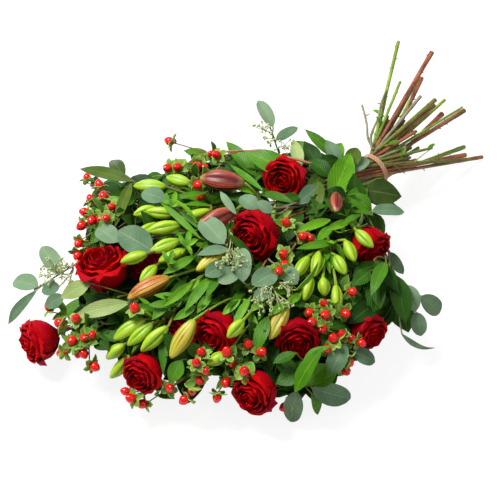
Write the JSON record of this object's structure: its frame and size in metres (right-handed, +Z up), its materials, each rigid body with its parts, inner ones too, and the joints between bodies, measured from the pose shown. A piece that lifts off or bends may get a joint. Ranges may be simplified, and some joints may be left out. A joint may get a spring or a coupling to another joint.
{
  "type": "funeral bouquet",
  "caption": "Flat-lying tied funeral bouquet of red roses, lily buds, red berries, eucalyptus and leafy greens, with long cut stems past a twine tie.",
  "frame": {"origin": "on the table, under the middle of the bunch's box", "axes": "+X along the bunch from the flower heads to the cut stem ends, +Z up from the table"},
  "size_m": [0.7892, 0.5562, 0.1748],
  "materials": {
    "rose_bloom": "soft velvety red petals",
    "rose_stem": "satin green stem, sepals and leaf",
    "lily": "satin lime green buds, some striped or pink-red",
    "hypericum": "glossy red berries on thin twigs",
    "eucalyptus": "matte silver-green, waxy bloom",
    "leafy_green": "glossy dark to bright green leaves",
    "tie": "coarse twisted natural twine"
  },
  "bodies": {
    "root": {"eucalyptus_1": "eucalyptus", "eucalyptus_2": "eucalyptus", "eucalyptus_3": "eucalyptus", "eucalyptus_4": "eucalyptus", "eucalyptus_5": "eucalyptus", "eucalyptus_6": "eucalyptus", "eucalyptus_7": "eucalyptus", "eucalyptus_8": "eucalyptus", "hypericum_1": "hypericum", "hypericum_2": "hypericum", "hypericum_3": "hypericum", "hypericum_4": "hypericum", "hypericum_5": "hypericum", "hypericum_6": "hypericum", "hypericum_7": "hypericum", "hypericum_8": "hypericum", "hypericum_9": "hypericum", "leafy_green_1": "leafy_green", "leafy_green_2": "leafy_green", "leafy_green_3": "leafy_green", "leafy_green_4": "leafy_green", "leafy_green_5": "leafy_green", "leafy_green_6": "leafy_green", "leafy_green_7": "leafy_green", "leafy_green_8": "leafy_green", "lily_1": "lily", "lily_2": "lily", "lily_3": "lily", "lily_4": "lily", "lily_5": "lily", "lily_6": "lily", "lily_7": "lily", "lily_8": "lily", "lily_9": "lily", "rose_bloom_1": "rose_bloom", "rose_bloom_10": "rose_bloom", "rose_bloom_11": "rose_bloom", "rose_bloom_12": "rose_bloom", "rose_bloom_2": "rose_bloom", "rose_bloom_3": "rose_bloom", "rose_bloom_4": "rose_bloom", "rose_bloom_5": "rose_bloom", "rose_bloom_6": "rose_bloom", "rose_bloom_7": "rose_bloom", "rose_bloom_8": "rose_bloom", "rose_bloom_9": "rose_bloom", "rose_stem_1": "rose_stem", "rose_stem_10": "rose_stem", "rose_stem_11": "rose_stem", "rose_stem_12": "rose_stem", "rose_stem_2": "rose_stem", "rose_stem_3": "rose_stem", "rose_stem_4": "rose_stem", "rose_stem_5": "rose_stem", "rose_stem_6": "rose_stem", "rose_stem_7": "rose_stem", "rose_stem_8": "rose_stem", "rose_stem_9": "rose_stem", "tie": "tie"}
  },
  "joints": []
}
